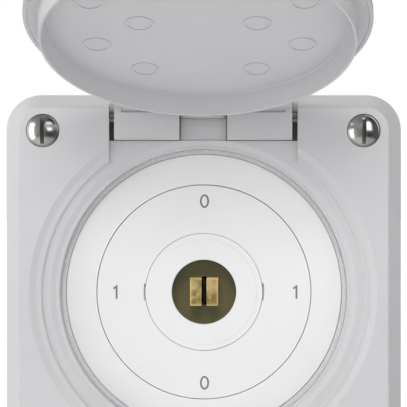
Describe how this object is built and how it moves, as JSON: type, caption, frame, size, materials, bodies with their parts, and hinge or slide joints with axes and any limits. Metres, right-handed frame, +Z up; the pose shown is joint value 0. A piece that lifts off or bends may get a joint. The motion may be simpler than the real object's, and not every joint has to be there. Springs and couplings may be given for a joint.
{
  "type": "selector key switch",
  "caption": "Flush square key switch: a round splash lid hinges over a white dial and the split square spindle that a socket key turns between off and on.",
  "frame": {"origin": "where the spindle's axis crosses the wall surface, which is the plane of the gasket's and the mounting plate's back faces", "axes": "+Z up, +X to the right as seen from the front, and the front faces -Y, so the switch body reaches +Y into the wall box"},
  "size_m": [0.086, 0.107, 0.1124],
  "materials": {
    "grey_plastic": "pale grey, finely textured matt moulding",
    "white_plastic": "white, satin moulding",
    "digit_grey": "dark grey inlay",
    "stainless_steel": "polished stainless steel",
    "zinc_plated_steel": "bright zinc plating",
    "spring_steel": "dark oiled spring steel",
    "brass": "machined brass, slightly tarnished",
    "dark_moulding": "dark olive brown moulding",
    "body_moulding": "dark grey moulding",
    "seal_rubber": "soft pale grey sealing ring",
    "gasket_rubber": "black sealing rubber"
  },
  "bodies": {
    "housing": {"cover_frame": "grey_plastic", "hinge_pin": "stainless_steel", "lid_seal": "seal_rubber", "wall_gasket": "gasket_rubber", "frame_screws": "stainless_steel", "screw_seals": "gasket_rubber", "corner_bushes": "brass", "mounting_plate": "zinc_plated_steel", "centre_plate": "white_plastic", "dial_ring": "white_plastic", "dial_digits": "digit_grey", "key_guide_bush": "white_plastic", "switch_cover": "dark_moulding", "switch_base": "body_moulding", "body_screws": "zinc_plated_steel", "plate_screws": "zinc_plated_steel", "contact_jaws": "brass", "terminal_clamps": "zinc_plated_steel", "terminal_screws": "zinc_plated_steel", "detent_springs": "spring_steel"},
    "lid": {"lid": "grey_plastic"},
    "rotor": {"spindle": "brass", "spindle_spring": "spring_steel", "spindle_clip": "spring_steel", "spindle_collar": "dark_moulding", "rotor_front": "dark_moulding", "rotor_rear": "dark_moulding", "contact_blade_front": "brass", "contact_blade_rear": "brass", "detent_wheel": "body_moulding"}
  },
  "joints": [
    {"name": "lid_hinge", "type": "hinge", "parent": "housing", "child": "lid", "pos_m": [0, -0.00924, 0.03849], "axis": [1, 0, 0], "range_deg": [0, 113]},
    {"name": "spindle_turn", "type": "hinge", "parent": "housing", "child": "rotor", "pos_m": [0, 0, 0], "axis": [0, 1, 0], "continuous": true, "deforming": ["detent_springs"]}
  ]
}
